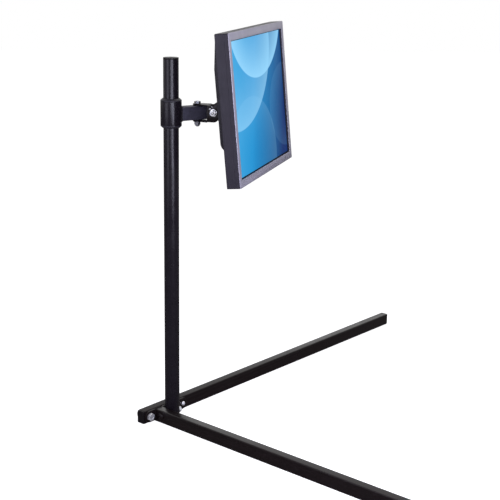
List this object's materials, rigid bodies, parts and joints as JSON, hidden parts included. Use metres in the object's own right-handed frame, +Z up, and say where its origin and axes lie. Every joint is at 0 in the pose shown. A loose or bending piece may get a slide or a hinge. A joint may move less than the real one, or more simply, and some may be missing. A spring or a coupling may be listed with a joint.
{
  "type": "mobile monitor stand",
  "caption": "Floor stand with rectangular tube legs at a right angle, a round pole with a sliding, turning collar, a short arm and a swivelling, tilting head that carries a flat monitor.",
  "frame": {"origin": "on the floor, on the pole's axis: the middle of the foot plug's lower face", "axes": "+Z up along the pole, +X halves the right angle between the legs, +Y towards the far leg"},
  "size_m": [0.7396, 1.3938, 0.9334],
  "materials": {
    "black_paint": "semi-gloss powder coat",
    "black_plastic": "fine grain, moulded",
    "nylon": "satin, turned or moulded",
    "zinc": "bright zinc plate",
    "cover_plastic": "fine grain, moulded",
    "bezel_plastic": "satin silver grey",
    "screen": "semi-gloss panel showing a plain blue picture",
    "clear_plastic": "clear acrylic",
    "sheet_steel": "galvanised sheet",
    "circuit_board": "lacquered board"
  },
  "bodies": {
    "stand": {"far_leg": "black_paint", "near_leg": "black_paint", "corner_flange": "black_paint", "far_leg_cap": "black_plastic", "stub_cap": "black_plastic", "near_leg_cap": "black_plastic", "corner_bolt": "zinc", "corner_nut": "zinc", "flange_screw": "zinc", "rivet_nut": "zinc", "pole_bolt": "black_paint", "pole_nut": "zinc", "pole": "black_paint", "pole_cap": "black_plastic", "foot_plug": "black_plastic"},
    "bushes": {"upper_bush": "nylon", "lower_bush": "nylon"},
    "collar": {"collar_sleeve": "black_paint", "set_screw": "zinc", "arm_tube": "black_paint"},
    "swivel_head": {"swivel_bracket": "black_paint", "pivot_bolt": "zinc", "pivot_nut": "zinc", "lower_washer": "zinc", "lower_glide": "nylon", "upper_glide": "nylon", "near_friction_disc": "zinc", "far_friction_disc": "zinc", "tilt_spacer": "sheet_steel"},
    "monitor": {"tilt_yoke": "black_paint", "tilt_bolt": "zinc", "tilt_nut": "zinc", "near_tilt_washer": "zinc", "far_tilt_washer": "zinc", "vesa_plate": "black_paint", "vesa_screw_1": "zinc", "vesa_screw_2": "zinc", "vesa_screw_3": "zinc", "vesa_screw_4": "zinc", "rear_cover": "cover_plastic", "cover_screw_1": "zinc", "cover_screw_2": "zinc", "front_bezel": "bezel_plastic", "status_light": "clear_plastic", "button_board": "circuit_board", "screen_panel": "screen", "light_guide": "clear_plastic", "light_strip": "circuit_board", "backlight_tray": "sheet_steel", "mount_chassis": "sheet_steel", "power_board": "circuit_board", "logic_board": "circuit_board", "mains_inlet": "black_plastic", "video_sockets": "sheet_steel"},
    "menu_button_a": {"menu_button_1": "cover_plastic"},
    "menu_button_b": {"menu_button_2": "cover_plastic"},
    "menu_button_c": {"menu_button_3": "cover_plastic"},
    "power_switch": {"power_button": "cover_plastic"}
  },
  "joints": [
    {"name": "height_slide", "type": "slide", "parent": "stand", "child": "bushes", "axis": [0, 0, 1], "range_m": [-0.52, 0.085]},
    {"name": "collar_turn", "type": "hinge", "parent": "bushes", "child": "collar", "pos_m": [0, 0, 0.7394], "axis": [0, 0, 1], "continuous": true},
    {"name": "head_swivel", "type": "hinge", "parent": "collar", "child": "swivel_head", "pos_m": [0.06004, 0.03192, 0.7361], "axis": [0, 0, 1], "range_deg": [-40, 140]},
    {"name": "head_tilt", "type": "hinge", "parent": "swivel_head", "child": "monitor", "pos_m": [0.10251, 0.01477, 0.7399], "axis": [-0.3746, -0.9272, 0], "range_deg": [-20, 15]},
    {"name": "menu_press_a", "type": "slide", "parent": "monitor", "child": "menu_button_a", "axis": [-0.0881, 0.0356, 0.9955], "range_m": [0, 0.0008], "stiffness_N_per_m": 600, "springref_m": -0.001},
    {"name": "menu_press_b", "type": "slide", "parent": "monitor", "child": "menu_button_b", "axis": [-0.0881, 0.0356, 0.9955], "range_m": [0, 0.0008], "stiffness_N_per_m": 600, "springref_m": -0.001},
    {"name": "menu_press_c", "type": "slide", "parent": "monitor", "child": "menu_button_c", "axis": [-0.0881, 0.0356, 0.9955], "range_m": [0, 0.0008], "stiffness_N_per_m": 600, "springref_m": -0.001},
    {"name": "power_press", "type": "slide", "parent": "monitor", "child": "power_switch", "axis": [-0.0881, 0.0356, 0.9955], "range_m": [0, 0.0008], "stiffness_N_per_m": 600, "springref_m": -0.001}
  ]
}
